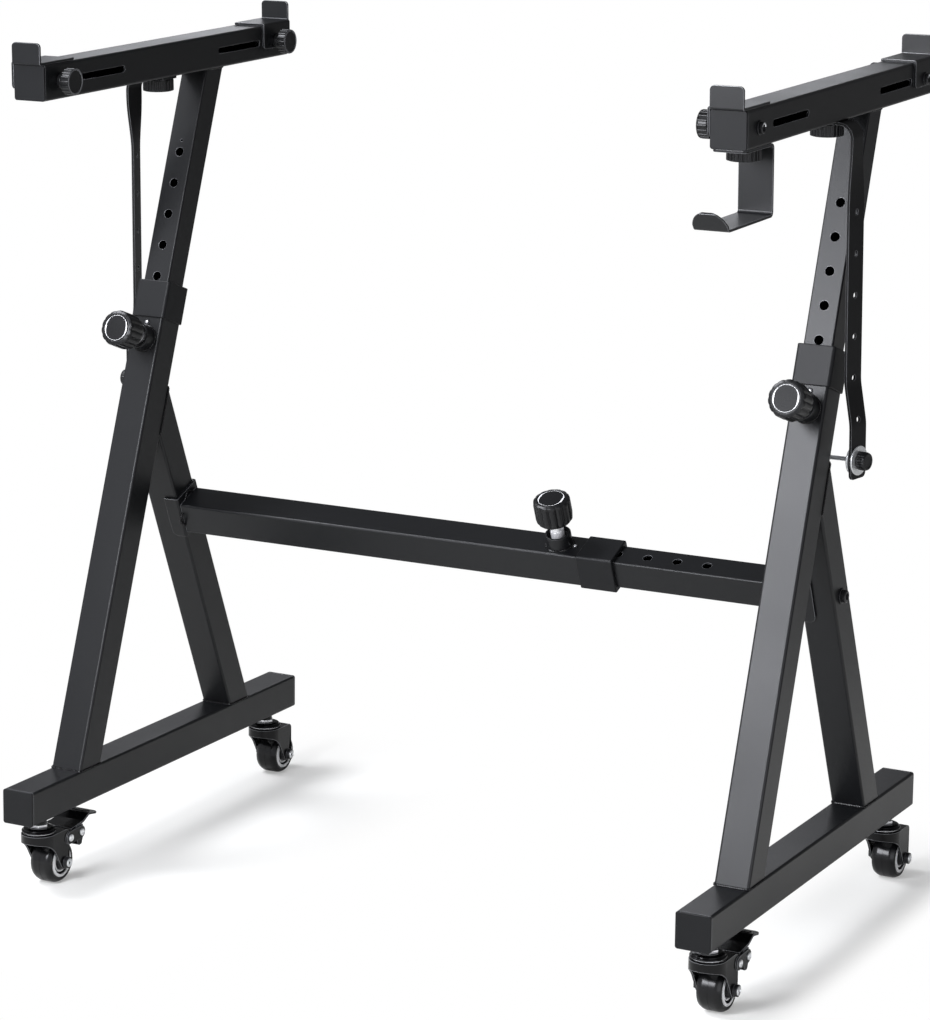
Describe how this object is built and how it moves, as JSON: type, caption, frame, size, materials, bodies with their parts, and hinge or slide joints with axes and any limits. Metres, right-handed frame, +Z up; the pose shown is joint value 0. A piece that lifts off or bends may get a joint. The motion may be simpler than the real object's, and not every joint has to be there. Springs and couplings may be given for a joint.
{
  "type": "keyboard stand",
  "caption": "Height- and width-adjustable steel keyboard stand: two leaning A-shaped side frames on casters, a telescopic crossbar, slotted arms with stops, and a headphone hook.",
  "frame": {"origin": "centre of the bounding box on the floor, under the middle of the stand", "axes": "+X to the right seen from the front, +Y to the back, +Z up"},
  "size_m": [0.9496, 0.5978, 0.9792],
  "materials": {
    "powder_coat": "satin black powder coat",
    "black_plastic": "matte black moulded plastic",
    "knob_plastic": "semi-gloss black moulded plastic",
    "zinc_steel": "zinc plated steel",
    "chrome": "chromed steel",
    "tyre_rubber": "smooth black polyurethane tread",
    "hub_plastic": "black hub with pale rings",
    "strap": "black flexible strap"
  },
  "bodies": {
    "left_frame": {"left_foot_tube": "powder_coat", "left_foot_end_caps": "black_plastic", "left_leg_outer_tube": "powder_coat", "left_rear_brace": "powder_coat", "crossbar_outer_tube": "powder_coat", "left_collars": "black_plastic", "left_pin_bosses": "powder_coat", "left_frame_fasteners": "zinc_steel", "left_strap_stud": "zinc_steel"},
    "right_frame": {"right_foot_tube": "powder_coat", "right_foot_end_caps": "black_plastic", "right_leg_outer_tube": "powder_coat", "right_rear_brace": "powder_coat", "crossbar_inner_tube": "powder_coat", "right_leg_collar": "black_plastic", "right_pin_boss": "powder_coat", "right_frame_fasteners": "zinc_steel", "right_strap_stud": "zinc_steel"},
    "left_upper": {"left_leg_inner_tube": "powder_coat", "left_arm_tube": "powder_coat", "left_arm_end_caps": "black_plastic", "left_front_stop": "powder_coat", "left_rear_stop": "powder_coat", "left_stop_bolts": "zinc_steel", "left_strap": "strap"},
    "left_leg_plunger": {"left_leg_plunger": "chrome"},
    "left_leg_pull_knob": {"left_leg_pull_knob": "knob_plastic"},
    "left_front_stop_knob": {"left_front_stop_knob": "knob_plastic"},
    "left_rear_stop_knob": {"left_rear_stop_knob": "knob_plastic"},
    "left_strap_knob": {"left_strap_knob": "knob_plastic"},
    "left_front_caster_fork": {"left_front_caster_fork": "powder_coat"},
    "left_front_caster_wheel": {"left_front_caster_tyre": "tyre_rubber", "left_front_caster_hub": "hub_plastic"},
    "left_front_brake_pedal": {"left_front_brake_pedal": "powder_coat"},
    "left_rear_caster_fork": {"left_rear_caster_fork": "powder_coat"},
    "left_rear_caster_wheel": {"left_rear_caster_tyre": "tyre_rubber", "left_rear_caster_hub": "hub_plastic"},
    "right_upper": {"right_leg_inner_tube": "powder_coat", "right_arm_tube": "powder_coat", "right_arm_end_caps": "black_plastic", "right_front_stop": "powder_coat", "right_rear_stop": "powder_coat", "right_stop_bolts": "zinc_steel", "right_strap": "strap"},
    "right_leg_plunger": {"right_leg_plunger": "chrome"},
    "right_leg_pull_knob": {"right_leg_pull_knob": "knob_plastic"},
    "right_front_stop_knob": {"right_front_stop_knob": "knob_plastic"},
    "right_rear_stop_knob": {"right_rear_stop_knob": "knob_plastic"},
    "right_strap_knob": {"right_strap_knob": "knob_plastic"},
    "right_front_caster_fork": {"right_front_caster_fork": "powder_coat"},
    "right_front_caster_wheel": {"right_front_caster_tyre": "tyre_rubber", "right_front_caster_hub": "hub_plastic"},
    "right_front_brake_pedal": {"right_front_brake_pedal": "powder_coat"},
    "right_rear_caster_fork": {"right_rear_caster_fork": "powder_coat"},
    "right_rear_caster_wheel": {"right_rear_caster_tyre": "tyre_rubber", "right_rear_caster_hub": "hub_plastic"},
    "crossbar_plunger": {"crossbar_plunger": "chrome"},
    "crossbar_pull_knob": {"crossbar_pull_knob": "knob_plastic"},
    "headphone_hook": {"headphone_hook": "powder_coat"},
    "headphone_hook_knob": {"headphone_hook_knob": "knob_plastic"}
  },
  "joints": [
    {"name": "crossbar_width_slide", "type": "slide", "parent": "left_frame", "child": "right_frame", "axis": [1, 0, 0], "range_m": [-0.1805, 0.0361]},
    {"name": "left_height_slide", "type": "slide", "parent": "left_frame", "child": "left_upper", "axis": [0, 0.3328, 0.943], "range_m": [-0.225, 0], "deforming": ["left_strap"]},
    {"name": "left_leg_pin_pull", "type": "slide", "parent": "left_frame", "child": "left_leg_plunger", "axis": [0, -0.943, 0.3328], "range_m": [0, 0.0065], "stiffness_N_per_m": 1000, "springref_m": -0.006},
    {"name": "left_leg_knob_turn", "type": "hinge", "parent": "left_leg_plunger", "child": "left_leg_pull_knob", "pos_m": [-0.417, -0.06112, 0.61688], "axis": [0, -0.943, 0.3328], "continuous": true},
    {"name": "left_front_stop_knob_turn", "type": "hinge", "parent": "left_upper", "child": "left_front_stop_knob", "pos_m": [-0.387, -0.2184, 0.92146], "axis": [1, 0, 0], "continuous": true},
    {"name": "left_rear_stop_knob_turn", "type": "hinge", "parent": "left_upper", "child": "left_rear_stop_knob", "pos_m": [-0.387, 0.23744, 0.93371], "axis": [1, 0, 0], "continuous": true},
    {"name": "left_strap_knob_turn", "type": "hinge", "parent": "left_upper", "child": "left_strap_knob", "pos_m": [-0.417, 0.00932, 0.89757], "axis": [0, 0.0269, -0.9996], "continuous": true},
    {"name": "left_front_caster_swivel", "type": "hinge", "parent": "left_frame", "child": "left_front_caster_fork", "pos_m": [-0.417, -0.24755, 0.084], "axis": [0, 0, 1], "continuous": true},
    {"name": "left_front_wheel_roll", "type": "hinge", "parent": "left_front_caster_fork", "child": "left_front_caster_wheel", "pos_m": [-0.417, -0.22305, 0.025], "axis": [1, 0, 0], "continuous": true},
    {"name": "left_front_brake_press", "type": "hinge", "parent": "left_front_caster_fork", "child": "left_front_brake_pedal", "pos_m": [-0.417, -0.19455, 0.0535], "axis": [-1, 0, 0], "range_deg": [0, 20]},
    {"name": "left_rear_caster_swivel", "type": "hinge", "parent": "left_frame", "child": "left_rear_caster_fork", "pos_m": [-0.417, 0.24945, 0.084], "axis": [0, 0, 1], "continuous": true},
    {"name": "left_rear_wheel_roll", "type": "hinge", "parent": "left_rear_caster_fork", "child": "left_rear_caster_wheel", "pos_m": [-0.417, 0.27395, 0.025], "axis": [1, 0, 0], "continuous": true},
    {"name": "right_height_slide", "type": "slide", "parent": "right_frame", "child": "right_upper", "axis": [0, 0.3328, 0.943], "range_m": [-0.225, 0], "deforming": ["right_strap"]},
    {"name": "right_leg_pin_pull", "type": "slide", "parent": "right_frame", "child": "right_leg_plunger", "axis": [0, -0.943, 0.3328], "range_m": [0, 0.0065], "stiffness_N_per_m": 1000, "springref_m": -0.006},
    {"name": "right_leg_knob_turn", "type": "hinge", "parent": "right_leg_plunger", "child": "right_leg_pull_knob", "pos_m": [0.417, -0.06112, 0.61688], "axis": [0, -0.943, 0.3328], "continuous": true},
    {"name": "right_front_stop_knob_turn", "type": "hinge", "parent": "right_upper", "child": "right_front_stop_knob", "pos_m": [0.387, -0.2184, 0.92146], "axis": [-1, 0, 0], "continuous": true},
    {"name": "right_rear_stop_knob_turn", "type": "hinge", "parent": "right_upper", "child": "right_rear_stop_knob", "pos_m": [0.387, 0.23744, 0.93371], "axis": [-1, 0, 0], "continuous": true},
    {"name": "right_strap_knob_turn", "type": "hinge", "parent": "right_upper", "child": "right_strap_knob", "pos_m": [0.417, 0.00932, 0.89757], "axis": [0, 0.0269, -0.9996], "continuous": true},
    {"name": "right_front_caster_swivel", "type": "hinge", "parent": "right_frame", "child": "right_front_caster_fork", "pos_m": [0.417, -0.24755, 0.084], "axis": [0, 0, 1], "continuous": true},
    {"name": "right_front_wheel_roll", "type": "hinge", "parent": "right_front_caster_fork", "child": "right_front_caster_wheel", "pos_m": [0.417, -0.22305, 0.025], "axis": [1, 0, 0], "continuous": true},
    {"name": "right_front_brake_press", "type": "hinge", "parent": "right_front_caster_fork", "child": "right_front_brake_pedal", "pos_m": [0.417, -0.19455, 0.0535], "axis": [-1, 0, 0], "range_deg": [0, 20]},
    {"name": "right_rear_caster_swivel", "type": "hinge", "parent": "right_frame", "child": "right_rear_caster_fork", "pos_m": [0.417, 0.24945, 0.084], "axis": [0, 0, 1], "continuous": true},
    {"name": "right_rear_wheel_roll", "type": "hinge", "parent": "right_rear_caster_fork", "child": "right_rear_caster_wheel", "pos_m": [0.417, 0.27395, 0.025], "axis": [1, 0, 0], "continuous": true},
    {"name": "crossbar_pin_pull", "type": "slide", "parent": "left_frame", "child": "crossbar_plunger", "axis": [0, -0.3933, 0.9194], "range_m": [0, 0.0065], "stiffness_N_per_m": 1000, "springref_m": -0.006},
    {"name": "crossbar_knob_turn", "type": "hinge", "parent": "crossbar_plunger", "child": "crossbar_pull_knob", "pos_m": [0.0997, 0.01981, 0.44294], "axis": [0, -0.3933, 0.9194], "continuous": true},
    {"name": "headphone_hook_swivel", "type": "hinge", "parent": "right_upper", "child": "headphone_hook", "pos_m": [0.417, -0.20981, 0.89968], "axis": [0, -0.0269, 0.9996], "range_deg": [-90, 90]},
    {"name": "headphone_hook_knob_turn", "type": "hinge", "parent": "right_upper", "child": "headphone_hook_knob", "pos_m": [0.417, -0.20962, 0.89268], "axis": [0, 0.0269, -0.9996], "continuous": true}
  ]
}
